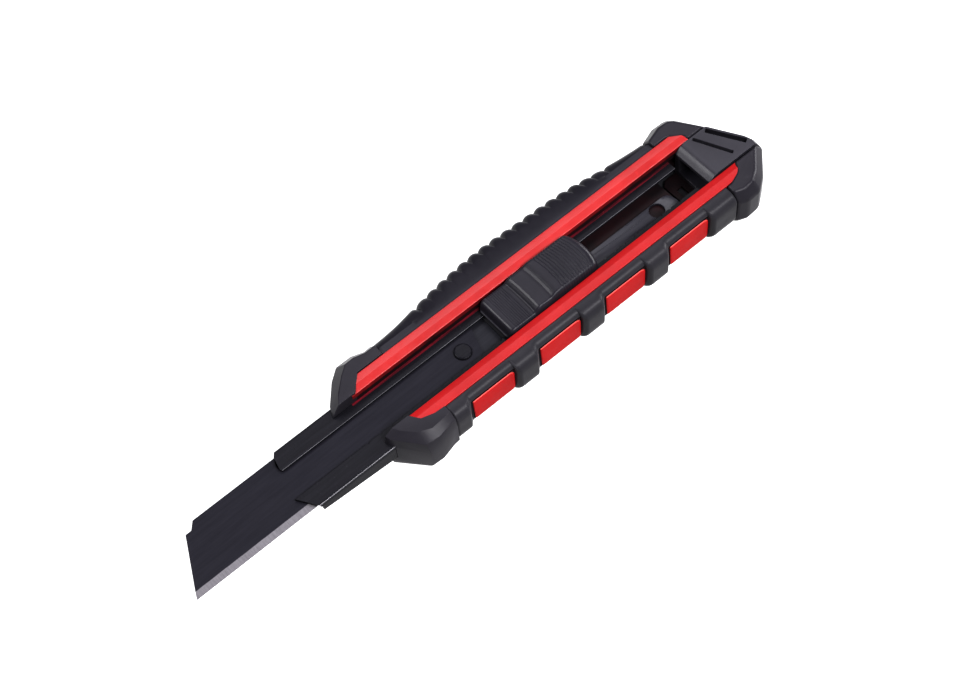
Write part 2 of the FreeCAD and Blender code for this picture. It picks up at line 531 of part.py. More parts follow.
# ---------------------------------------------------------------- finger grip
gf, bf = size("grip_face"), size("bump_face")
finger = prism_yz([(-so - 0.02, 12.95), (-12.4, 12.7), (-gf, 11.3), (-gf, 2.0), (-13.2, 0.5), (-bh - 0.03, 0.5), (-bh - 0.03, 11.53), (-so - 0.02, 12.2)],
                  78.2, 177.4)
for k in range(wn):
    a = w0 + k * wp
    b = a + size("window_length")
    hole = prism_xz([(a, zl), (b - 0.2, zl), (b - 0.2, zh), (a - 0.3, zh)], -20, -10)
    finger = finger.cut(hole)
spans = []
for k in range(wn + 1):
    left = 78.2 if k == 0 else w0 + (k - 1) * wp + size("window_length") + 0.3
    right = 177.4 if k == wn else w0 + k * wp - 0.9
    spans.append((left, right, k))
for left, right, k in spans:
    c0 = 0.0 if k == 0 else 1.5
    c1 = 0.0 if k == wn else 1.5
    base_x0, base_x1 = left, right
    top_x0, top_x1 = left + c0, right - c1
    bump = prism_yz([(-12.2, 12.72), (-14.6, 11.9), (-15.7, 11.0), (-bf, 9.9), (-bf, 3.4), (-15.2, 1.6), (-13.2, 0.5), (-bh - 0.03, 0.5), (-bh - 0.03, 11.53), (-12.2, 12.2)], base_x0, base_x1)
    trim = prism_xy([(base_x0, -10), (base_x0, -gf), (top_x0, -bf - 0.1), (top_x1, -bf - 0.1), (base_x1, -gf), (base_x1, -10)], 0, 15)
    finger = finger.fuse(bump.common(trim))
feature("finger_grip", solids_only(finger.removeSplitter()))

# ---------------------------------------------------------------- corner bumpers
bt = size("bumper_top")
keep_rail = box(30, 62.6, -rh - 0.05, rh + 0.05, 3.6, ll + lt + 0.03)
keep_rail = keep_rail.fuse(box(30, 200, -rg - 0.03, rg + 0.03, -1, 20))
doc.recompute()
red = body.Shape.copy()
keep_cover = cover.Shape.copy()
cover_gap = prism_xy(cover_outline, -1, size("cover_thick") + 0.02)


def finish_bumper(label, block):
    shape = block.cut(keep_rail).cut(red).cut(cover_gap).cut(box(62.4, 190, -mh, mh, 1.0, wl)).cut(box(62.4, 176, -sy, sy, sl, sh))
    for side in (1, -1):
        lo, hi = sorted((side * (rh - rw - 0.06), side * (rh + 0.06)))
        shape = shape.cut(box(30, size("skirt_rear") + 0.4, lo, hi, size("skirt_low") - 0.1, sh))
    solids = sorted(shape.Solids, key=lambda s: s.Volume, reverse=True)
    return feature(label, solids[0])


front_spine = [(55.9, 7.0), (57.3, 10.2), (62.2, 15.6), (65.7, 18.2), (70.5, 18.2), (74.0, 16.9), (76.25, 17.0), (76.25, 11.0), (68.2, 11.0), (63.9, 7.0)]
low_fs = [(57.4, 7.0), (58.9, 9.4), (63.2, 14.2), (66.3, 16.6), (70.2, 16.6), (73.6, 15.6), (76.25, 15.6), (76.25, 11.0), (68.2, 11.0), (63.9, 7.0)]
top_fs = [(58.2, 7.0), (60.0, 9.6), (64.0, 13.4), (67.0, 15.6), (69.8, 15.6), (73.0, 14.6), (76.25, 14.5), (76.25, 11.3), (68.2, 11.3), (63.9, 7.0)]
finish_bumper("front_spine_bumper", facet_block([(0.0, low_fs), (1.8, front_spine), (9.8, front_spine), (13.5, top_fs)]))

front_edge = [(61.2, -7.0), (69.0, -17.3), (72.1, -17.5), (76.5, -16.4), (78.15, -16.2), (78.15, -11.0), (75.1, -10.9), (71.4, -9.9), (69.4, -7.0)]
low_fe = [(61.6, -7.0), (68.9, -16.3), (71.7, -16.2), (76.2, -15.0), (78.15, -14.7), (78.15, -11.0), (75.1, -10.9), (71.4, -9.9), (69.4, -7.0)]
mid_fe = [(61.9, -7.6), (68.4, -16.0), (72.0, -16.4), (76.5, -15.6), (78.15, -15.4), (78.15, -11.0), (75.1, -10.9), (71.4, -9.9), (69.4, -7.0)]
top_fe = [(66.0, -8.3), (68.4, -12.6), (71.8, -14.3), (76.5, -13.9), (78.15, -13.8), (78.15, -11.25), (75.1, -11.15), (71.4, -9.9), (69.4, -7.0)]
finish_bumper("front_edge_bumper", facet_block([(0.0, low_fe), (1.8, front_edge), (8.6, front_edge), (11.2, mid_fe), (13.4, top_fe)]))

rear_spine = [(172.15, 11.0), (172.15, 16.1), (177.3, 17.9), (182.0, 17.8), (184.0, 16.4), (189.9, 7.0), (180.6, 7.0), (180.5, 8.3), (176.9, 11.0)]
low_rs = [(172.15, 11.0), (172.15, 14.7), (177.3, 16.4), (181.2, 16.3), (182.9, 15.2), (188.4, 7.0), (180.6, 7.0), (180.5, 8.3), (176.9, 11.0)]
top_rs = [(172.15, 11.3), (172.15, 13.6), (177.4, 15.2), (180.6, 15.0), (182.0, 13.9), (186.8, 7.0), (180.6, 7.0), (180.5, 8.3), (176.9, 11.3)]
finish_bumper("rear_spine_bumper", facet_block([(0.0, low_rs), (1.8, rear_spine), (9.8, rear_spine), (13.5, top_rs)]))

rear_edge = [(177.45, -11.0), (177.45, -16.2), (180.4, -17.5), (184.7, -17.2), (188.6, -14.4), (197.0, -4.4), (196.6, -3.4), (195.4, -7.0), (184.6, -7.0), (182.9, -9.9), (179.0, -11.0)]
rear_edge = [(177.45, -11.0), (177.45, -16.2), (180.4, -17.5), (184.7, -17.2), (188.6, -14.4), (195.6, -7.0), (184.6, -7.0), (182.9, -9.9), (179.0, -11.0)]
low_re = [(177.45, -11.0), (177.45, -14.9), (180.2, -16.0), (184.0, -15.8), (187.4, -13.4), (193.8, -7.0), (184.6, -7.0), (182.9, -9.9), (179.0, -11.0)]
top_re = [(177.45, -11.2), (177.45, -13.8), (180.4, -14.7), (183.2, -14.5), (186.4, -12.6), (191.9, -7.0), (184.6, -7.0), (182.9, -9.9), (179.0, -11.2)]
finish_bumper("rear_edge_bumper", facet_block([(0.0, low_re), (1.8, rear_edge), (9.6, rear_edge), (13.5, top_re)]))
doc.recompute()

# ---------------------------------------------------------------- gather, shift and write
NODES = ["handle_body", "spine_grip", "finger_grip", "front_spine_bumper", "front_edge_bumper", "rear_spine_bumper", "rear_edge_bumper",
         "back_cover", "cover_screws", "blade_rail", "rail_rivets", "spare_blades", "magazine_leaf",
         "blade", "blade_carrier", "carrier_pin", "slider_base", "base_rivet", "thumb_slider", "lock_pawl", "button_spring",
         "end_cap", "cap_tongue"]
objects = {}
for label in NODES:
    found = [o for o in doc.Objects if o.Label == label]
    if len(found) != 1:
        raise RuntimeError("need one object labelled " + label)
    objects[label] = found[0]

whole = FreeCAD.BoundBox()
for label in NODES:
    whole.add(objects[label].Shape.optimalBoundingBox(True, False))
shift = Vector(-(whole.XMin + whole.XMax) / 2, -(whole.YMin + whole.YMax) / 2, -whole.ZMin)
for label in NODES:
    obj = objects[label]
    obj.Placement = Placement(obj.Placement.Base + shift, obj.Placement.Rotation)
doc.recompute()

for obj in doc.Objects:
    if "Invalid" in obj.State or "Error" in obj.State:
        raise RuntimeError(obj.Label + " is in state " + str(obj.State))
os.makedirs("parts", exist_ok=True)
for label in NODES:
    shape = objects[label].Shape
    if shape.isNull() or not shape.isValid() or not shape.Solids:
        raise RuntimeError(label + " has no valid solid")
for label in NODES:
    objects[label].Shape.exportStep(os.path.join("parts", label + ".step"))
print("whole box", [round(v, 3) for v in (whole.XMin, whole.XMax, whole.YMin, whole.YMax, whole.ZMin, whole.ZMax)])
print("shift", [round(v, 4) for v in (shift.x, shift.y, shift.z)])
print("pawl tooth at", round(pawl_x, 3))
print(len(NODES), "nodes written")
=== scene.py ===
import bpy
import bmesh
import math
import numpy as np
from mathutils import Matrix, Vector


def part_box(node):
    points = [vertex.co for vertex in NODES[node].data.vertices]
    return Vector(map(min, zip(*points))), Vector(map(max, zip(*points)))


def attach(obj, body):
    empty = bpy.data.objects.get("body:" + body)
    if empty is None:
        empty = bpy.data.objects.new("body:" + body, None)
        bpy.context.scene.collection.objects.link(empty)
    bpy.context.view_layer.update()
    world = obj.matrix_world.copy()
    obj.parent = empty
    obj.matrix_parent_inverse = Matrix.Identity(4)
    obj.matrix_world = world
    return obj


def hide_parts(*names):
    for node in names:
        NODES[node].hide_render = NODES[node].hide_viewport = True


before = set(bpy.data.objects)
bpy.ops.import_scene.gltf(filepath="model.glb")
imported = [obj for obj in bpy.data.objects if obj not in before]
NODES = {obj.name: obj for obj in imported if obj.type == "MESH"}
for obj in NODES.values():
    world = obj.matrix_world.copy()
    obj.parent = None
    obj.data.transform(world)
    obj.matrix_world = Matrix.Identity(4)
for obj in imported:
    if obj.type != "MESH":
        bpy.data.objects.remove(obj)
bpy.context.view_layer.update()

scene = bpy.context.scene

# Working coordinates are millimetres with X from the blade tip, Y = 0 on the blade's centreline, Z = 0 on the back face.
tip_lo, tip_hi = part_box("blade")
OX = tip_lo.x * 1000.0
OY = (tip_lo.y + tip_hi.y) * 500.0


def P(x, y, z):
    return Vector(((x + OX) / 1000.0, (y + OY) / 1000.0, z / 1000.0))


# ------------------------------------------------------------------ mesh helpers
def link(obj):
    scene.collection.objects.link(obj)
    return obj


def shade_smooth(obj, angle=None):
    for poly in obj.data.polygons:
        poly.use_smooth = True
    if angle is not None:
        bm = bmesh.new()
        bm.from_mesh(obj.data)
        for e in bm.edges:
            if len(e.link_faces) == 2:
                e.smooth = e.calc_face_angle(0.0) < math.radians(angle)
            else:
                e.smooth = False
        bm.to_mesh(obj.data)
        bm.free()


def mesh_obj(name, verts, faces, smooth=True, angle=None):
    me = bpy.data.meshes.new(name)
    me.from_pydata([P(*v) for v in verts], [], faces)
    bm = bmesh.new()
    bm.from_mesh(me)
    bmesh.ops.remove_doubles(bm, verts=bm.verts, dist=1e-7)
    bmesh.ops.dissolve_degenerate(bm, edges=bm.edges, dist=1e-7)
    bmesh.ops.recalc_face_normals(bm, faces=bm.faces)
    bm.to_mesh(me)
    bm.free()
    obj = link(bpy.data.objects.new(name, me))
    if smooth:
        shade_smooth(obj, angle)
    return obj


def loft(name, rings, cap=True, smooth=True, angle=None):
    """Closed rings with equal point counts, joined in order, with flat end caps."""
    verts, faces = [], []
    n = len(rings[0])
    for r in rings:
        verts.extend(r)
    for i in range(len(rings) - 1):
        for j in range(n):
            k = (j + 1) % n
            faces.append((i * n + j, i * n + k, (i + 1) * n + k, (i + 1) * n + j))
    if cap:
        faces.append(tuple(reversed(range(n))))
        faces.append(tuple((len(rings) - 1) * n + j for j in range(n)))
    return mesh_obj(name, verts, faces, smooth, angle)


def add_bevel(obj, width, segments=3, angle=25.0, harden=True):
    m = obj.modifiers.new("edge_round", "BEVEL")
    m.width = width / 1000.0
    m.segments = segments
    m.limit_method = "ANGLE"
    m.angle_limit = math.radians(angle)
    m.miter_outer = "MITER_ARC"
    m.harden_normals = harden
    m.use_clamp_overlap = True
    return m


def weighted(obj):
    m = obj.modifiers.new("flat_faces", "WEIGHTED_NORMAL")
    m.keep_sharp = True
    m.weight = 80


def apply_all(obj):
    dg = bpy.context.evaluated_depsgraph_get()
    dg.update()
    me = bpy.data.meshes.new_from_object(obj.evaluated_get(dg), preserve_all_data_layers=True, depsgraph=dg)
    obj.modifiers.clear()
    obj.data = me
    return obj


def cut_with(obj, cutters):
    for c in cutters:
        m = obj.modifiers.new("cut", "BOOLEAN")
        m.operation = "DIFFERENCE"
        m.solver = "EXACT"
        m.object = c
    apply_all(obj)
    for c in cutters:
        bpy.data.objects.remove(c)
    return obj


def block(name, levels, smooth=False):
    """Faceted solid through outlines (x, y), one per height."""
    return loft(name, [[(x, y, z) for x, y in pts] for z, pts in levels], smooth=smooth)


def box_obj(name, x0, x1, y0, y1, z0, z1):
    return block(name, [(z0, [(x0, y0), (x1, y0), (x1, y1), (x0, y1)]), (z1, [(x0, y0), (x1, y0), (x1, y1), (x0, y1)])])


def interp(line, x):
    xs = [p[0] for p in line]
    ys = [p[1] for p in line]
    return float(np.interp(x, xs, ys))


def smoothstep(a, b, x):
    t = min(1.0, max(0.0, (x - a) / (b - a)))
    return t * t * (3 - 2 * t)


def round_loop(points, radii, seg=4):
    """Rounds the corners of a closed (a, b) loop."""
    out = []
    n = len(points)
    for i, (px, py) in enumerate(points):
        r = radii[i] if isinstance(radii, (list, tuple)) else radii
        p = Vector((px, py))
        a = Vector(points[i - 1]) - p
        b = Vector(points[(i + 1) % n]) - p
        la, lb = a.length, b.length
        a.normalize()
        b.normalize()
        ang = a.angle(b)
        if r <= 1e-6 or abs(math.pi - ang) < 1e-3:
            out.append((px, py))
            continue
        d = min(r / math.tan(ang / 2), la * 0.48, lb * 0.48)
        rr = d * math.tan(ang / 2)
        centre = p + (a + b).normalized() * (rr / math.sin(ang / 2))
        start, end = p + a * d, p + b * d
        for k in range(seg + 1):
            t = k / seg
            v = (start - centre).lerp(end - centre, t)
            v = v.normalized() * rr
            q = centre + v
            out.append((q.x, q.y))
    return out


# ------------------------------------------------------------------ materials
def new_mat(name):
    m = bpy.data.materials.new(name)
    m.use_nodes = True
    nt = m.node_tree
    nt.nodes.clear()
    out = nt.nodes.new("ShaderNodeOutputMaterial")
    bsdf = nt.nodes.new("ShaderNodeBsdfPrincipled")
    nt.links.new(bsdf.outputs[0], out.inputs[0])
    tc = nt.nodes.new("ShaderNodeTexCoord")
    return m, nt, bsdf, tc


def noise(nt, tc, scale, detail=4.0, rough=0.55, stretch=None):
    n = nt.nodes.new("ShaderNodeTexNoise")
    n.inputs["Scale"].default_value = scale
    n.inputs["Detail"].default_value = detail
    n.inputs["Roughness"].default_value = rough
    if stretch:
        mp = nt.nodes.new("ShaderNodeMapping")
        mp.inputs["Scale"].default_value = stretch
        nt.links.new(tc.outputs["Object"], mp.inputs["Vector"])
        nt.links.new(mp.outputs[0], n.inputs["Vector"])
    else:
        nt.links.new(tc.outputs["Object"], n.inputs["Vector"])
    return n.outputs["Fac"]


def ramp(nt, fac, stops):
    r = nt.nodes.new("ShaderNodeValToRGB")
    els = r.color_ramp.elements
    while len(els) < len(stops):
        els.new(0.5)
    for e, (pos, col) in zip(els, stops):
        e.position = pos
        e.color = (*col, 1) if len(col) == 3 else col
    nt.links.new(fac, r.inputs["Fac"])
    return r.outputs["Color"]


def map_range(nt, fac, a, b, c, d):
    m = nt.nodes.new("ShaderNodeMapRange")
    m.inputs["From Min"].default_value = a
    m.inputs["From Max"].default_value = b
    m.inputs["To Min"].default_value = c
    m.inputs["To Max"].default_value = d
    nt.links.new(fac, m.inputs["Value"])
    return m.outputs["Result"]


def mix_col(nt, fac, a, b):
    m = nt.nodes.new("ShaderNodeMix")
    m.data_type = "RGBA"
    nt.links.new(fac, m.inputs["Factor"])
    for sock, v in ((m.inputs["A"], a), (m.inputs["B"], b)):
        if isinstance(v, tuple):
            sock.default_value = (*v, 1)
        else:
            nt.links.new(v, sock)
    return m.outputs["Result"]


def bump(nt, bsdf, height, strength, dist, chain=None):
    b = nt.nodes.new("ShaderNodeBump")
    b.inputs["Strength"].default_value = strength
    b.inputs["Distance"].default_value = dist
    nt.links.new(height, b.inputs["Height"])
    if chain is not None:
        nt.links.new(chain, b.inputs["Normal"])
    nt.links.new(b.outputs["Normal"], bsdf.inputs["Normal"])
    return b.outputs["Normal"]


def plastic(name, col_a, col_b, rough_a, rough_b, grain=2600.0, grain_h=0.00002, coat=0.0, spec=0.5, edge_wear_and_highlight=0.35):
    """Moulded plastic or soft overmould: cloudy tone, fine spark-eroded grain, faint scuffs, and convex edges lightened
    by pointiness, which stand for rubbed edges and also serve as a painted highlight.
    """
    m, nt, bsdf, tc = new_mat(name)
    cloud = noise(nt, tc, 90.0, 5.0, 0.6)
    base = ramp(nt, cloud, [(0.3, col_a), (0.7, col_b)])
    geo = nt.nodes.new("ShaderNodeNewGeometry")
    # convex edges lightened by pointiness: rubbed wear and painted highlight
    edge = map_range(nt, geo.outputs["Pointiness"], 0.505, 0.56, 0.0, edge_wear_and_highlight)
    scuff = noise(nt, tc, 420.0, 6.0, 0.7)
    scuff_mask = map_range(nt, scuff, 0.62, 0.72, 0.0, 0.35)
    light = tuple(min(1.0, c * 1.6 + 0.012) for c in col_b)
    worn_and_highlit = mix_col(nt, edge, base, light)
    both = mix_col(nt, scuff_mask, worn_and_highlit, tuple(min(1.0, c * 1.25 + 0.004) for c in col_b))
    nt.links.new(both, bsdf.inputs["Base Color"])
    smudge = noise(nt, tc, 140.0, 6.0, 0.65)
    nt.links.new(map_range(nt, smudge, 0.3, 0.7, rough_a, rough_b), bsdf.inputs["Roughness"])
    bsdf.inputs["Specular IOR Level"].default_value = spec
    bsdf.inputs["Coat Weight"].default_value = coat
    bsdf.inputs["Coat Roughness"].default_value = 0.18
    fine = noise(nt, tc, grain, 3.0, 0.6)
    n1 = bump(nt, bsdf, fine, 0.35, grain_h)
    big = noise(nt, tc, 160.0, 2.0, 0.5)
    bump(nt, bsdf, big, 0.12, 0.0001, n1)
    return m


def metal_coat(name, col_a, col_b, rough, spec=0.5, along=(30.0, 900.0, 900.0), metallic=0.0, coat=0.0):
    """Black-oxide or painted sheet steel with faint lengthwise drag marks and tiny specks."""
    m, nt, bsdf, tc = new_mat(name)
    drag = noise(nt, tc, 2.0, 6.0, 0.65, stretch=along)
    base = ramp(nt, drag, [(0.35, col_a), (0.68, col_b)])
    speck = noise(nt, tc, 900.0, 4.0, 0.7)
    speck_mask = map_range(nt, speck, 0.66, 0.74, 0.0, 0.5)
    full = mix_col(nt, speck_mask, base, tuple(c * 1.9 + 0.01 for c in col_b))
    nt.links.new(full, bsdf.inputs["Base Color"])
    smudge = noise(nt, tc, 70.0, 5.0, 0.6)
    nt.links.new(map_range(nt, smudge, 0.3, 0.7, rough - 0.05, rough + 0.07), bsdf.inputs["Roughness"])
    bsdf.inputs["Metallic"].default_value = metallic
    bsdf.inputs["Specular IOR Level"].default_value = spec
    bsdf.inputs["Coat Weight"].default_value = coat
    bsdf.inputs["Coat Roughness"].default_value = 0.12
    bump(nt, bsdf, drag, 0.03, 0.00002)
    return m


def steel(name, col=(0.55, 0.55, 0.57), rough=0.32):
    m, nt, bsdf, tc = new_mat(name)
    drag = noise(nt, tc, 2.0, 6.0, 0.7, stretch=(60.0, 1600.0, 1600.0))
    base = ramp(nt, drag, [(0.3, tuple(c * 0.75 for c in col)), (0.7, col)])
    nt.links.new(base, bsdf.inputs["Base Color"])
    nt.links.new(map_range(nt, drag, 0.3, 0.7, rough - 0.07, rough + 0.12), bsdf.inputs["Roughness"])
    bsdf.inputs["Metallic"].default_value = 1.0
    bump(nt, bsdf, drag, 0.15, 0.00002)
    return m


def blade_material(name):
    """Black coated blade; the ground bevel along the edge is bare steel with cross grinding lines."""
    m, nt, bsdf, tc = new_mat(name)
    drag = noise(nt, tc, 2.0, 6.0, 0.6, stretch=(40.0, 700.0, 700.0))
    black = ramp(nt, drag, [(0.35, BLADE_A), (0.7, BLADE_B)])
    grind = noise(nt, tc, 2.0, 5.0, 0.7, stretch=(2600.0, 120.0, 120.0))
    bare = ramp(nt, grind, [(0.3, (0.086, 0.082, 0.089)), (0.7, (0.134, 0.128, 0.139))])
    sep = nt.nodes.new("ShaderNodeSeparateXYZ")
    nt.links.new(tc.outputs["Object"], sep.inputs[0])
    limit = P(0, -9.0 + 1.93, 0).y
    wob = noise(nt, tc, 240.0, 3.0, 0.5)
    shift = map_range(nt, wob, 0.3, 0.7, -0.00004, 0.00004)
    add = nt.nodes.new("ShaderNodeMath")
    add.operation = "ADD"
    nt.links.new(sep.outputs["Y"], add.inputs[0])
    nt.links.new(shift, add.inputs[1])
    mask = map_range(nt, add.outputs[0], limit - 0.00004, limit + 0.00004, 1.0, 0.0)
    full = mix_col(nt, mask, black, bare)
    nt.links.new(full, bsdf.inputs["Base Color"])
    nt.links.new(map_range(nt, mask, 0.0, 1.0, 0.0, 0.55), bsdf.inputs["Metallic"])
    nt.links.new(map_range(nt, mask, 0.0, 1.0, 0.42, 0.46), bsdf.inputs["Roughness"])
    bsdf.inputs["Specular IOR Level"].default_value = 0.06
    bump(nt, bsdf, grind, 0.04, 0.00002)
    return m


BLADE_A, BLADE_B = (0.0080, 0.0077, 0.0112), (0.0112, 0.0108, 0.0150)
M = {}
M["red"] = plastic("red_moulded", (0.1763, 0.0052, 0.0062), (0.2116, 0.0071, 0.0084), 0.27, 0.37, grain=1500.0, grain_h=0.00001, coat=0.0, spec=0.18, edge_wear_and_highlight=0.2)
# Spine rail red: a lit copy of the red, lighter and pinker with higher specular, painting a sheen on its outer half.
M["red_spine_painted_sheen"] = plastic("red_moulded_spine_painted_sheen", (0.1880, 0.0063, 0.0068), (0.2290, 0.0085, 0.0092), 0.29, 0.38, grain=1500.0, grain_h=0.00001, coat=0.0, spec=0.34, edge_wear_and_highlight=0.3)
# Finger grip: a lighter copy of the soft grip rubber, painted light on that side of the handle.
M["grip_finger_painted_light"] = plastic("soft_grip_finger_painted_light", (0.0116, 0.0112, 0.0136), (0.0168, 0.0161, 0.0192), 0.28, 0.36, grain=3000.0, grain_h=0.00003, spec=0.06)
# Side windows: a shaded copy of the red, with lower specular and deeper red, so the windows look less lit; its strong
# edge lightening is a painted highlight.
M["red_side_shaded_copy"] = plastic("red_moulded_side_shaded_copy", (0.2176, 0.0024, 0.0034), (0.2544, 0.0032, 0.0043), 0.34, 0.44, grain=1500.0, grain_h=0.00001, coat=0.0, spec=0.035, edge_wear_and_highlight=0.6)
# Channel inside: near-black painted shade, standing in for the red body in shadow.
M["red_body_painted_shade"] = plastic("inner_channel_painted_shade", (0.0030, 0.0027, 0.0034), (0.012, 0.0032, 0.0040), 0.34, 0.46, grain=1500.0, grain_h=0.00001, coat=0.0, spec=0.06, edge_wear_and_highlight=0.05)
# Rail inner walls: near-black with dark red mottling, a painted shade and a painted red reflection.
M["red_shade"] = plastic("inner_rail_wall_painted_shade", (0.0030, 0.0027, 0.0034), (0.150, 0.0060, 0.0085), 0.30, 0.40, grain=1500.0, grain_h=0.00001, coat=0.0, spec=0.08, edge_wear_and_highlight=0.05)
M["grip"] = plastic("soft_grip", (0.0083, 0.0078, 0.0107), (0.0124, 0.0116, 0.0151), 0.27, 0.35, grain=3000.0, grain_h=0.00003, spec=0.065)
M["bumper"] = plastic("bumper_rubber", (0.0089, 0.0081, 0.0110), (0.0130, 0.0120, 0.0157), 0.27, 0.35, grain=3000.0, grain_h=0.00003, spec=0.08)
M["slider"] = plastic("slider_moulded", (0.0085, 0.0078, 0.0110), (0.0120, 0.0110, 0.0151), 0.27, 0.34, grain=3400.0, grain_h=0.00002, spec=0.12)
# Window bevels: lighter red on the upward faces, a painted highlight.
M["red_edge"] = plastic("red_bevel_painted_highlight", (0.3168, 0.0422, 0.0370), (0.3696, 0.0546, 0.0475), 0.30, 0.40, grain=1500.0, grain_h=0.00001, coat=0.0, spec=0.15, edge_wear_and_highlight=0.1)
M["cap"] = plastic("cap_moulded", (0.0105, 0.0098, 0.0133), (0.0146, 0.0137, 0.0182), 0.28, 0.36, grain=3000.0, grain_h=0.00002, spec=0.14)
# Spine lip top: dark red mottling, a painted reflection of the red rail.
M["rail_glow"] = metal_coat("rail_top_painted_red_reflection", (0.0055, 0.0053, 0.0072), (0.150, 0.0080, 0.0170), 0.30, spec=0.055)
# Lip and fold edges: lighter grey, rubbed bare metal and a painted highlight.
M["rail_edge"] = metal_coat("rail_rubbed_edge_and_painted_highlight", (0.030, 0.029, 0.034), (0.105, 0.102, 0.112), 0.26, spec=0.30)
M["rail_floor"] = metal_coat("rail_floor_black", (0.0100, 0.0096, 0.0135), (0.0150, 0.0145, 0.0195), 0.28, spec=0.30)
M["black"] = plastic("black_moulded", (0.0060, 0.0060, 0.0075), (0.0090, 0.0090, 0.0110), 0.45, 0.58, grain=2200.0, grain_h=0.00002, spec=0.10)
M["rail"] = metal_coat("rail_black", (0.0055, 0.0053, 0.0072), (0.0085, 0.0083, 0.0110), 0.24, spec=0.055)
M["blade"] = blade_material("blade_black")
M["steel"] = steel("plated_steel")
M["carrier"] = metal_coat("carrier_black", (0.0095, 0.0095, 0.0125), (0.0140, 0.0140, 0.0180), 0.34, spec=0.06)


def paint(obj, mat):
    obj.data.materials.clear()
    obj.data.materials.append(M[mat])
    return obj


def paint_node(node, mat):
    obj = NODES[node]
    obj.data.materials.clear()
    obj.data.materials.append(M[mat])


# The red handle body and the cap tongue are painted near-black: painted shade for the inside of the channel.
for node, mat in {"handle_body": "red_body_painted_shade", "spine_grip": "grip", "finger_grip": "grip", "front_spine_bumper": "bumper", "front_edge_bumper": "bumper",
                  "rear_spine_bumper": "bumper", "rear_edge_bumper": "bumper", "back_cover": "black", "cover_screws": "steel",
                  "blade_rail": "rail", "rail_rivets": "steel", "spare_blades": "blade", "magazine_leaf": "carrier", "blade": "blade",
                  "blade_carrier": "carrier", "carrier_pin": "rail", "slider_base": "black", "base_rivet": "steel", "thumb_slider": "slider",
                  "lock_pawl": "carrier", "button_spring": "steel", "end_cap": "cap", "cap_tongue": "red_body_painted_shade"}.items():
    paint_node(node, mat)

# ------------------------------------------------------------------ red rails (caps over the moulded channel)
for side, nm in ((1, "spine"), (-1, "edge")):
    loop = [(7.07, 11.2), (7.07, 12.8), (9.1, 13.38), (11.3, 13.16), (11.3, 12.2), (10.6, 11.2)]
    loop = round_loop(loop, [0.0, 0.26, 0.9, 0.22, 0.0, 0.0], 5)
    x0, x1 = (62.7, 180.95) if side > 0 else (68.9, 184.75)
    xs = list(np.linspace(x0, x1, 240))
    rings = [[(x, side * y, z) for y, z in loop] for x in xs]
    rail = loft("red_rail_" + nm, rings, angle=40)
    # The spine rail takes the lit copy of the red: painted sheen.
    paint(rail, "red_spine_painted_sheen" if "spine" in rail.name else "red")
    rail.data.materials.append(M["red_shade"])
    # Inner wall faces below the rail top get the painted shade with its painted red reflection.
    for poly in rail.data.polygons:
        c = poly.center
        if abs(c.y * 1000 - OY) < 7.25 and c.z * 1000 < 12.5:
            poly.material_index = 1
    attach(rail, "handle")

# ------------------------------------------------------------------ red side windows
W0, WP, WL, ZL, ZH = 85.1, 23.03, 13.75, 2.2, 11.1
for k in range(4):
    a = W0 + k * WP
    b = a + WL
    outer = round_loop([(a - 0.30, ZH), (b + 0.05, ZH), (b + 0.05, ZL), (a + 0.05, ZL)], [0.35, 1.9, 1.0, 0.5], 6)
    cx, cz = (a + b) / 2, (ZL + ZH) / 2

    def inset(loop, d):
        return [(cx + (x - cx) * (1 - d / (WL / 2)), cz + (z - cz) * (1 - d / ((ZH - ZL) / 2))) for x, z in loop]
    rings = []
    for y, d in ((-12.0, 0.0), (-13.9, 0.0), (-14.26, 0.03), (-14.40, 0.10), (-14.50, 0.24), (-14.55, 0.42), (-14.57, 0.8)):
        rings.append([(x, y, z) for x, z in inset(outer, d)])
    w = loft("red_window_%d" % (k + 1), rings, angle=60)
    # The windows take the shaded copy of the red: painted shade.
    paint(w, "red_side_shaded_copy")
    w.data.materials.append(M["red_edge"])
    # Upward bevel faces of the window get the lighter red: painted highlight.
    for poly in w.data.polygons:
        if poly.normal.z > 0.3 and poly.center.y * 1000 - OY < -14.0:
            poly.material_index = 1
    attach(w, "handle")

# ------------------------------------------------------------------ spine grip
SPINE = [(76.3, 16.9), (80.2, 17.05), (85.1, 17.4), (92.6, 18.7), (101.1, 20.05), (109.6, 20.8), (116.1, 21.05), (122.2, 20.9),
         (130.7, 20.45), (139.3, 20.15), (147.9, 19.4), (156.4, 18.0), (165.0, 16.8), (172.1, 16.2)]
PITCH, FIRST, COUNT = 3.85, 94.7, 17


def spine_y(x):
    acc = 0.0
    for d, wgt in ((-3, 0.1), (-1.5, 0.2), (0, 0.4), (1.5, 0.2), (3, 0.1)):
        acc += wgt * interp(SPINE, x + d)
    return acc


def ridge(x):
    """0 on a ridge crest, 1 in the groove between ridges."""
    t = (x - (FIRST - PITCH / 2)) / PITCH
    i = math.floor(t)
    if t < -0.5 or t > COUNT + 0.5:
        return 0.0
    if i < 0 or i >= COUNT:
        fade = 1.0 - min(1.0, abs(t - (0 if i < 0 else COUNT)) / 0.5)
        return fade * fade * 0.9
    f = 2 * (t - i) - 1
    lobe = 1 - math.sqrt(max(0.0, 1 - (0.985 * f) ** 2))
    strength = min(1.0, 0.45 + 0.28 * min(i + 0.5, COUNT - i - 0.5))
    return lobe * strength


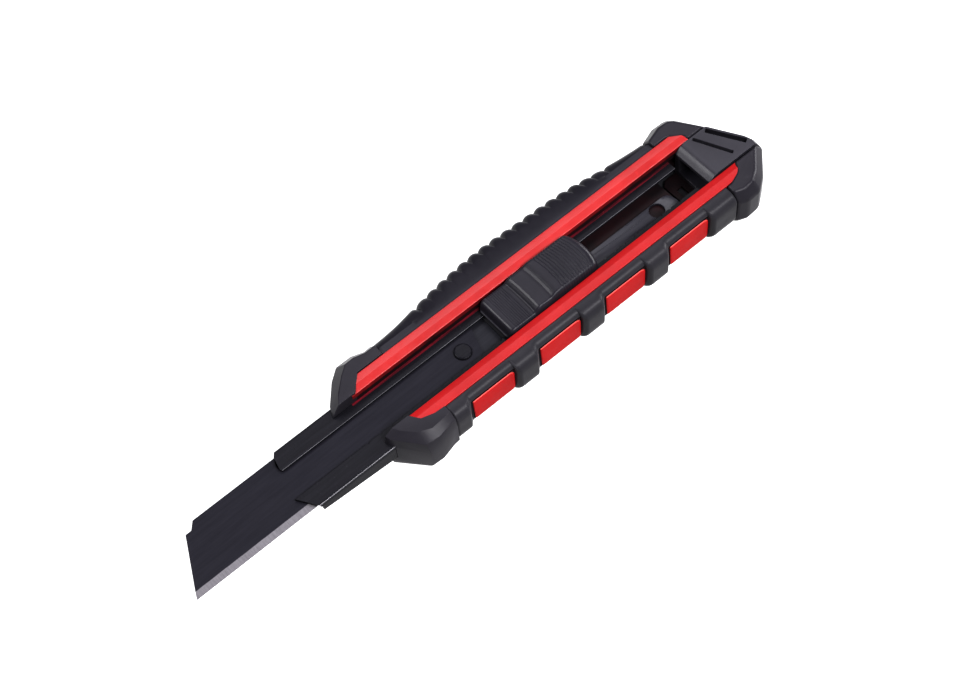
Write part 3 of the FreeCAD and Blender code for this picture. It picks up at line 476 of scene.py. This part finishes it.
xs = list(np.arange(76.45, 92.5, 0.5)) + list(np.arange(92.5, 161.0, 0.16)) + list(np.arange(161.0, 171.9, 0.5)) + [171.95]
rings = []
for x in xs:
    yo = spine_y(x)
    g = ridge(x)
    endf = min(x - 76.4, 172.0 - x)
    shrink = 0.25 * (1 - smoothstep(0.0, 0.45, endf))
    loop = [(11.3, 12.1), (11.3, 12.8 - shrink)]
    # top surface rolls off towards the spine, then the side wall, then the back
    top = [(11.5, 12.92), (12.4, 12.86), (13.6, 12.68), (yo - 4.2, 12.25), (yo - 3.2, 11.98), (yo - 2.3, 11.65), (yo - 1.5, 11.2), (yo - 0.85, 10.65),
           (yo - 0.35, 9.95), (yo - 0.08, 9.1), (yo, 8.1), (yo, 6.6), (yo, 5.0), (yo - 0.1, 3.9), (yo - 0.45, 2.8), (yo - 1.1, 1.9), (yo - 2.0, 1.2), (yo - 3.2, 0.75), (yo - 4.6, 0.5)]
    for y, z in top:
        d = yo - y
        w = smoothstep(4.4, 1.0, d) if z > 1.5 else smoothstep(4.6, 2.0, d) * 0.6
        gy = 1.05 * g * w
        gz = 0.85 * g * w if z > 8 else (-0.3 * g * w if z < 3 else 0.0)
        loop.append((max(11.35, y - gy - shrink * 0.8 * (1 if d < 5 else 0)), z - gz - (shrink if z > 8 else -shrink)))
    loop.append((12.66, 0.5))
    loop.append((12.66, 6.0))
    rings.append([(x, y, z) for y, z in loop])
grip = loft("spine_grip_soft", rings, angle=50)
paint(grip, "grip")
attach(grip, "handle")
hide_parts("spine_grip")

# ------------------------------------------------------------------ finger grip with bumps
P0 = [(-11.3, 12.1), (-11.32, 12.82), (-11.5, 12.92), (-12.0, 12.88), (-12.6, 12.72), (-13.2, 12.42), (-13.7, 12.05), (-14.02, 11.62), (-14.05, 11.32), (-13.9, 11.15),
      (-13.95, 9.0), (-13.95, 6.0), (-13.95, 4.0), (-13.95, 2.4), (-14.1, 2.0), (-13.95, 1.6), (-13.6, 1.1), (-13.1, 0.7), (-12.66, 0.5), (-12.66, 6.0)]
P1 = [(-11.3, 12.1), (-11.32, 12.82), (-11.5, 12.92), (-12.6, 12.92), (-13.7, 12.78), (-14.5, 12.45), (-15.2, 11.95), (-15.72, 11.3), (-16.0, 10.5), (-16.1, 9.6),
      (-16.1, 8.0), (-16.1, 6.0), (-16.1, 4.6), (-16.05, 3.6), (-15.9, 2.8), (-15.5, 2.0), (-14.9, 1.3), (-14.0, 0.8), (-12.66, 0.5), (-12.66, 6.0)]
GRIP0, GRIP1 = 78.3, 177.3


def ease_out(t):
    """Steep start and rounded shoulder."""
    t = min(1.0, max(0.0, t))
    return math.sqrt(max(0.0, 1 - (1 - t) ** 2))


def bump_level(x):
    """1 on a finger bump, 0 beside a window: a steep front wall with a round shoulder, and a long back slope."""
    level = 1.0
    for k in range(4):
        a = W0 + k * WP
        b = a + WL
        if x <= (a + b) / 2:
            v = 1 - smoothstep(a - 2.6, a - 0.35, x)
        else:
            v = ease_out((x - (b + 0.12)) / 1.5)
        if a - 3 < x < b + 3:
            level = min(level, v)
    return level


xs = [GRIP0] + list(np.arange(GRIP0 + 0.15, GRIP1 - 0.05, 0.16)) + [GRIP1]
rings = []
for x in xs:
    b = bump_level(x)
    endf = min(x - GRIP0, GRIP1 - x)
    shrink = 0.3 * (1 - smoothstep(0.0, 0.4, endf))
    loop = []
    for (ya, za), (yb, zb) in zip(P0, P1):
        y = ya + (yb - ya) * b
        z = za + (zb - za) * b
        if -12.7 > y:
            y += shrink
        if z > 11:
            z -= shrink
        loop.append((x, y, z))
    rings.append(loop)
fg = loft("finger_grip_soft", rings, angle=60)
# The finger grip takes the lighter copy of the grip: painted light.
paint(fg, "grip_finger_painted_light")
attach(fg, "handle")
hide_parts("finger_grip")

# ------------------------------------------------------------------ corner bumpers
def bumper(name, node, levels, cutters=(), width=0.75, mat="bumper"):
    obj = block(name, levels)
    if cutters:
        cut_with(obj, list(cutters))
    add_bevel(obj, width, 4, 22, harden=False)
    apply_all(obj)
    shade_smooth(obj, 55)
    weighted(obj)
    paint(obj, mat)
    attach(obj, "handle")
    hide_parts(node)
    return obj


def channel_cutter(name, x0, x1):
    """Space of the steel rail through a front bumper."""
    return box_obj(name, x0, x1, -10.08, 10.08, 3.55, 9.36)


fs = [(55.9, 7.14), (57.3, 10.2), (62.2, 15.6), (65.7, 18.2), (70.5, 18.2), (74.0, 16.9), (76.25, 17.0), (76.25, 11.3), (68.2, 11.3), (64.1, 7.14)]
fs_low = [(57.4, 7.14), (58.9, 9.4), (63.2, 14.2), (66.3, 16.6), (70.2, 16.6), (73.6, 15.6), (76.25, 15.6), (76.25, 11.3), (68.2, 11.3), (64.1, 7.14)]
fs_top = [(58.4, 7.14), (60.2, 9.6), (64.2, 13.3), (67.1, 15.4), (69.8, 15.5), (73.0, 14.6), (76.25, 14.6), (76.25, 11.45), (68.0, 11.45), (63.8, 7.14)]
bumper("front_spine_bumper_soft", "front_spine_bumper", [(0.0, fs_low), (1.8, fs), (9.8, fs), (13.5, fs_top)],
       [channel_cutter("c1", 40, 90)])
fe_low = [(61.9, -7.14), (62.0, -8.9), (68.3, -16.1), (71.7, -16.3), (76.2, -15.0), (78.15, -14.7), (78.15, -11.3), (75.1, -11.1), (71.4, -10.0), (69.5, -7.14)]
fe = [(61.2, -7.14), (61.4, -8.6), (68.3, -17.2), (71.9, -17.4), (76.3, -16.3), (78.15, -16.15), (78.15, -11.3), (75.1, -11.1), (71.4, -10.0), (69.5, -7.14)]
fe_mid = [(61.8, -7.14), (62.1, -8.6), (68.0, -16.1), (72.0, -16.5), (76.3, -15.7), (78.15, -15.5), (78.15, -11.3), (75.1, -11.1), (71.4, -10.0), (69.5, -7.14)]
fe_top = [(64.3, -7.14), (65.3, -9.3), (67.9, -12.2), (71.8, -14.1), (76.3, -13.7), (78.15, -13.6), (78.15, -11.4), (75.1, -11.2), (71.4, -10.0), (69.5, -7.14)]
bumper("front_edge_bumper_soft", "front_edge_bumper", [(0.0, fe_low), (1.8, fe), (8.6, fe), (11.9, fe_mid), (13.45, fe_top)],
       [channel_cutter("c2", 40, 90)])
rs = [(172.2, 11.3), (172.2, 16.1), (177.3, 17.9), (182.0, 17.8), (184.0, 16.4), (189.7, 7.14), (180.8, 7.14), (180.7, 8.4), (177.0, 11.3)]
rs_low = [(172.2, 11.3), (172.2, 14.7), (177.3, 16.4), (181.2, 16.3), (182.9, 15.2), (188.4, 7.14), (180.8, 7.14), (180.7, 8.4), (177.0, 11.3)]
rs_top = [(172.2, 11.45), (172.2, 13.6), (177.4, 15.2), (180.6, 15.0), (182.0, 13.9), (186.6, 7.14), (180.8, 7.14), (180.7, 8.4), (177.0, 11.45)]
bumper("rear_spine_bumper_soft", "rear_spine_bumper", [(0.0, rs_low), (1.8, rs), (9.7, rs), (13.5, rs_top)])
re_ = [(177.5, -11.3), (177.5, -16.2), (180.4, -17.45), (184.7, -17.2), (188.6, -14.4), (195.4, -7.14), (184.6, -7.14), (182.9, -9.9), (179.0, -11.3)]
re_low = [(177.5, -11.3), (177.5, -14.9), (180.2, -16.0), (184.0, -15.8), (187.4, -13.4), (193.6, -7.14), (184.6, -7.14), (182.9, -9.9), (179.0, -11.3)]
re_top = [(177.5, -11.45), (177.5, -14.2), (180.4, -15.3), (183.7, -15.1), (187.0, -12.9), (192.6, -7.14), (184.6, -7.14), (182.9, -9.9), (179.0, -11.45)]
bumper("rear_edge_bumper_soft", "rear_edge_bumper", [(0.0, re_low), (1.8, re_), (10.1, re_), (13.5, re_top)])

# ------------------------------------------------------------------ steel rail
LE = 4.25


def rail_point_start(y, z):
    """Front end of the rail for a point of its section."""
    if z > 8.0:
        if y > 0:
            line = [(3.0, 37.3), (3.9, 37.3), (5.7, 36.4), (8.5, 37.6), (10.2, 39.0)]
            return interp(line, y)
        line = [(-10.2, 38.3), (-3.8, 34.2), (-3.0, 34.2)]
        return interp(line, y)
    if abs(y) > 9.0 and z > 6.2:
        return interp([(5.9, 40.6), (8.2, 38.9)], z)
    return 40.6


def notch(x):
    """Small detent nicks in the lower lip."""
    for c in [58.3, 62.3] + [65.7 + 3.37 * i for i in range(31)]:
        if abs(x - c) < 1.0:
            return 0.36 * (1 - smoothstep(0.22, 0.5, abs(x - c)))
    return 0.0


def skirt(x):
    return interp([(40.6, 5.75), (61.5, 3.72), (80.0, 3.72), (80.3, 6.0), (200, 6.0)], x)


def c_loop(side):
    """Half section, from the lip's inner edge over the fold and down to the floor's underside."""
    pts = [(LE, 8.58), (LE, 8.72), (LE, 9.22), (LE + 0.08, 9.3), (LE + 0.5, 9.3), (6.5, 9.3), (8.5, 9.3), (9.5, 9.3), (9.78, 9.24), (9.94, 9.08), (10.0, 8.85), (10.0, 7.6), (10.0, 6.6)]
    return pts


for side, nm in ((1, "spine"), (-1, "edge")):
    upper = [(LE, 8.5), (LE, 9.2), (LE + 0.1, 9.3), (LE + 0.6, 9.3), (6.5, 9.3), (8.6, 9.3), (9.45, 9.3), (9.74, 9.23), (9.93, 9.04), (10.0, 8.75), (10.0, 7.6), (10.0, 6.4)]
    inner = [(9.2, 6.4), (9.2, 7.6), (9.2, 8.2), (9.1, 8.42), (8.9, 8.5), (6.5, 8.5), (LE + 0.6, 8.5)]
    xs = list(np.arange(42.0, 172.0, 0.17)) + [172.6, 173.5]
    rings = []
    lead = [0.0, 0.33, 0.66]
    for t in lead:
        ring = []
        for idx, (y, z) in enumerate(upper + inner):
            yy, zz = side * y, z
            x_s = rail_point_start(yy, 9.0 if idx < 10 or idx > 15 else zz)
            if idx in (10, 11, 12, 13, 14):
                x_s = 39.0
            x = x_s + (42.0 - x_s) * t
            if idx in (11, 12):
                zz = skirt(max(x, 40.6)) if idx == 11 else skirt(max(x, 40.6))
                if x < 40.6:
                    zz = 5.9
            ring.append((x, yy, zz))
        rings.append(ring)
    for x in xs:
        ring = []
        nt_ = notch(x) if side < 0 else 0.0
        for idx, (y, z) in enumerate(upper + inner):
            yy = y
            if nt_ and (idx in (0, 1, 2)):
                yy = y + nt_
            if nt_ and idx in (3, 18):
                yy = max(y, LE + nt_ + 0.12)
            zz = z
            if idx in (11, 12):
                zz = skirt(x)
            ring.append((x, side * yy, zz))
        rings.append(ring)
    part = loft("rail_wall_" + nm, rings, angle=35)
    paint(part, "rail")
    part.data.materials.append(M["rail_edge"])
    part.data.materials.append(M["rail_glow"])
    for poly in part.data.polygons:
        cy, cz = abs(poly.center.y * 1000 - OY), poly.center.z * 1000
        # The spine lip's top band gets the painted red reflection.
        if side > 0 and cz > 9.2 and 7.0 < cy < 8.5 and poly.center.x * 1000 - OX > 62.0:
            poly.material_index = 2
        # The edge-side fold and the spine lip's inner edge get the lighter grey: rubbed metal and painted highlight.
        if (side < 0 and 9.62 < cy and 8.9 < cz) or (side > 0 and cy < LE + 0.09 and cz > 9.15):
            poly.material_index = 1
    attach(part, "handle")

# floor strip of the rail with its hole and rounded rear corner
strip = [(40.6, -9.25), (168.0, -9.25), (168.0, -2.2), (167.6, -0.3), (166.8, 0.7), (165.6, 1.1), (108.0, 1.1), (108.0, 9.25), (40.6, 9.25)]
me = bpy.data.meshes.new("rail_floor")
bm = bmesh.new()
outer = [bm.verts.new(P(x, y, 6.9)) for x, y in strip]
hole = [bm.verts.new(P(161.5 + 2.25 * math.cos(2 * math.pi * i / 48), -1.3 + 2.25 * math.sin(2 * math.pi * i / 48), 6.9)) for i in range(48)]
edges = [bm.edges.new((outer[i], outer[(i + 1) % len(outer)])) for i in range(len(outer))]
edges += [bm.edges.new((hole[i], hole[(i + 1) % 48])) for i in range(48)]
bmesh.ops.triangle_fill(bm, use_beauty=True, edges=edges)
bmesh.ops.recalc_face_normals(bm, faces=bm.faces)
if sum(f.normal.z for f in bm.faces) < 0:
    bmesh.ops.reverse_faces(bm, faces=bm.faces)
bm.to_mesh(me)
bm.free()
floor_strip = link(bpy.data.objects.new("rail_floor_strip", me))
sol = floor_strip.modifiers.new("thick", "SOLIDIFY")
sol.thickness = 0.0009
sol.offset = -1.0
apply_all(floor_strip)
add_bevel(floor_strip, 0.12, 2, 40, harden=False)
apply_all(floor_strip)
shade_smooth(floor_strip, 40)
paint(floor_strip, "rail_floor")
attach(floor_strip, "handle")
nose_pad = box_obj("rail_nose_pad", 40.8, 51.0, -8.0, 8.0, 6.85, 7.55)
add_bevel(nose_pad, 0.25, 3, 30)
apply_all(nose_pad)
shade_smooth(nose_pad, 40)
paint(nose_pad, "rail")
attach(nose_pad, "handle")
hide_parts("blade_rail")

# ------------------------------------------------------------------ carrier pin
rings = []
for r, z in ((1.5, 7.1), (2.4, 7.72), (2.4, 8.55), (2.36, 8.78), (2.2, 8.92), (1.95, 8.97), (1.2, 8.99), (0.5, 8.995)):
    rings.append([(93.5 + r * math.cos(2 * math.pi * i / 56), r * math.sin(2 * math.pi * i / 56), z) for i in range(56)])
pin = loft("carrier_pin_head", rings, angle=50)
paint(pin, "rail")
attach(pin, "slider")
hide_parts("carrier_pin")

# ------------------------------------------------------------------ thumb pad
LOW = 10.25
TOP = [(104.6, 10.6), (104.75, 11.4), (105.0, 12.2), (105.4, 12.75), (105.9, 13.05), (106.6, 13.16), (111.8, 13.1), (113.0, 13.06), (113.5, 13.22), (114.0, 13.66), (114.6, 14.14), (115.1, 14.4), (115.7, 14.44),
       (117.9, 14.3), (118.8, 14.28), (119.4, 14.4), (120.1, 14.72), (120.8, 14.98), (121.5, 15.1), (122.2, 15.11), (128.0, 14.98), (133.2, 14.85),
       (134.0, 14.66), (134.7, 14.15), (135.25, 13.2), (135.6, 12.0), (135.85, 10.6)]


def ribs(x):
    for start, count, pitch in ((106.9, 9, 0.62), (122.9, 12, 0.86)):
        t = (x - start) / pitch
        if 0 <= t < count:
            f = t - math.floor(t)
            return (0.08 if start < 120 else 0.13) * (0.5 + 0.5 * math.cos(2 * math.pi * (f - 0.5))) ** 1.2
    return 0.0


def half_width(x):
    d = min(x - 104.05, 136.0 - x)
    r = 2.6
    if d >= r:
        return 6.72
    return 6.72 - (r - math.sqrt(max(0.0, r * r - (r - d) ** 2))) * 0.8


def bow(x):
    """How far the middle of a rib or an end stands behind its corners."""
    return interp([(104.0, 0.0), (107.0, 0.0), (111.0, 0.1), (115.0, 0.3), (121.0, 0.4), (126.0, 0.9), (136.0, 1.6)], x)


xs = list(np.linspace(104.1, 106.9, 16)) + list(np.arange(107.0, 133.4, 0.08)) + list(np.linspace(133.4, 135.9, 18))
rings = []
for x in xs:
    w = half_width(x)
    zt = max(interp(TOP, x), LOW + 0.35)
    rb = ribs(x)
    h = zt - LOW
    loop = []
    prof = [(0.0, 0.0), (0.0, 0.35), (0.03, 0.55), (0.14, 0.74), (0.32, 0.87), (0.55, 0.95), (0.85, 0.985), (1.2, 1.0), (2.2, 1.005), (3.6, 1.01), (5.2, 1.012)]
    half = []
    for k, (dy, fz) in enumerate(prof):
        z = LOW + h * fz / 1.012
        y = w - dy
        if k >= 3:
            z -= rb * (1.0 if k >= 6 else (0.35, 0.6, 0.85)[k - 3])
            if k < 6:
                y -= rb * 0.5
        half.append((y, z))
    for y, z in half:
        loop.append((x + bow(x) * (1 - (y / 6.72) ** 2), -y, z))
    for y, z in reversed(half):
        loop.append((x + bow(x) * (1 - (y / 6.72) ** 2), y, z))
    rings.append(loop)
thumb = loft("thumb_pad", rings, smooth=False)
cavity = box_obj("cavity", 106.9, 133.9, -4.9, 4.9, LOW - 1.0, 12.4)
cut_with(thumb, [cavity])
shade_smooth(thumb, 42)
paint(thumb, "slider")
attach(thumb, "thumb_button")
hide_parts("thumb_slider")

# ------------------------------------------------------------------ end cap
CX, CS, CE = 175.9, 6.85, -6.6
cap_full = [(CX, CE), (CX, CS), (189.0, CS), (194.9, -2.9), (195.8, -4.8), (195.6, CE)]
cap_low = [(CX, CE), (CX, CS), (188.4, CS), (194.0, -2.9), (194.8, -4.8), (194.6, CE)]
cap_mid = [(CX, CE), (CX, CS), (187.9, CS), (193.5, -2.7), (194.2, -4.8), (194.0, CE)]
cap_top = [(CX, CE), (CX, CS), (187.2, CS), (192.6, -2.6), (193.3, -4.8), (193.1, CE)]
cap = block("end_cap_moulded", [(1.9, cap_low), (3.4, cap_full), (9.0, cap_full), (12.0, cap_mid), (13.25, cap_top)])
# inclined ledge at the front and hollow under the panel
ledge = loft("ledge_cut", [[(x, y, z) for x, z in ((170.0, 7.5), (CX - 0.02, 11.25), (177.6, 12.66), (179.0, 13.27), (179.0, 15.0), (170.0, 15.0))] for y in (-9.0, 9.0)], smooth=False)
hollow = box_obj("hollow_cut", CX - 1.0, 186.0, -5.2, 5.2, 4.2, 10.2)
cuts = [ledge, hollow]
for (ax, ay), (bx, by), wide, depth in (((186.75, 6.3), (192.55, -3.9), 1.35, 2.0), ((182.1, 6.35), (187.1, -4.3), 1.0, 2.2)):
    along = Vector((bx - ax, by - ay)).normalized()
    off = Vector((along.y, -along.x)) * wide
    pts = [(ax, ay), (bx, by), (bx + off.x, by + off.y), (ax + off.x, ay + off.y)]
    cuts.append(block("groove_cut", [(13.25 - depth, pts), (14.5, pts)]))
cut_with(cap, cuts)
add_bevel(cap, 0.22, 3, 28, harden=False)
apply_all(cap)
shade_smooth(cap, 50)
weighted(cap)
paint(cap, "cap")
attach(cap, "end_cap")
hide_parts("end_cap")
# ------------------------------------------------------------------ stage, light, camera
floor_me = bpy.data.meshes.new("floor")
floor_me.from_pydata([(-3, -3, -0.0004), (3, -3, -0.0004), (3, 3, -0.0004), (-3, 3, -0.0004)], [], [(0, 1, 2, 3)])
floor = link(bpy.data.objects.new("floor", floor_me))
fm, nt, bsdf, tc = new_mat("floor_white")
bsdf.inputs["Base Color"].default_value = (0.25, 0.25, 0.25, 1)
bsdf.inputs["Roughness"].default_value = 0.9
bsdf.inputs["Specular IOR Level"].default_value = 0.0
bsdf.inputs["Emission Color"].default_value = (1, 1, 1, 1)
bsdf.inputs["Emission Strength"].default_value = 0.97
floor_me.materials.append(fm)

world = bpy.data.worlds.new("studio")
scene.world = world
world.use_nodes = True
bg = world.node_tree.nodes["Background"]
bg.inputs[0].default_value = (0.93, 0.94, 1.0, 1)
bg.inputs[1].default_value = 0.15


def area(name, loc, target, size_x, size_y, energy, color=(1, 1, 1)):
    data = bpy.data.lights.new(name, "AREA")
    data.shape = "RECTANGLE"
    data.size = size_x
    data.size_y = size_y
    data.energy = energy
    data.color = color
    obj = link(bpy.data.objects.new(name, data))
    obj.location = loc
    obj.rotation_mode = "QUATERNION"
    obj.rotation_quaternion = (Vector(target) - Vector(loc)).to_track_quat("-Z", "Y")
    return obj


area("top_panel", (0.33, 0.48, 1.02), (0, 0, 0.0), 0.8, 0.8, 11.0, (0.97, 0.96, 1.0))
area("key_softbox", (0.14, -0.60, 0.80), (0.02, 0, 0.0), 0.95, 0.24, 29.0, (0.99, 0.98, 1.0))
area("left_softbox", (-0.54, 0.45, 0.78), (0, 0, 0.0), 0.40, 0.40, 13.0)
area("rear_strip", (0.93, 0.06, 0.14), (0.08, 0, 0.0), 0.7, 0.22, 8.0)
area("rear_corner", (0.92, -0.20, 0.40), (0.08, 0, 0.0), 0.30, 0.25, 7.0)

# camera pose in the working frame: position and axes
CP = (-53.61, -219.65, 447.62 + 8.3)
az, el, roll = math.radians(-35.149), math.radians(59.08), math.radians(-6.601)
back = Vector((math.sin(az) * math.cos(el), -math.cos(az) * math.cos(el), math.sin(el)))
fwd = -back
right = fwd.cross(Vector((0, 0, 1))).normalized()
up = right.cross(fwd)
right2 = right * math.cos(roll) + up * math.sin(roll)
up2 = -right * math.sin(roll) + up * math.cos(roll)
cam_data = bpy.data.cameras.new("camera")
cam = link(bpy.data.objects.new("camera", cam_data))
rot = Matrix((right2, up2, back)).transposed()
cam.rotation_mode = "QUATERNION"
cam.rotation_quaternion = rot.to_quaternion()
cam.location = P(*CP)
cam_data.sensor_width = 36.0
cam_data.lens = 36.0 * 1996.196 / 970.0
cam_data.clip_start = 0.01
cam_data.clip_end = 20.0
scene.camera = cam

scene.view_settings.view_transform = "Standard"
scene.view_settings.look = "None"
scene.view_settings.exposure = 0.0
scene.view_settings.gamma = 0.8
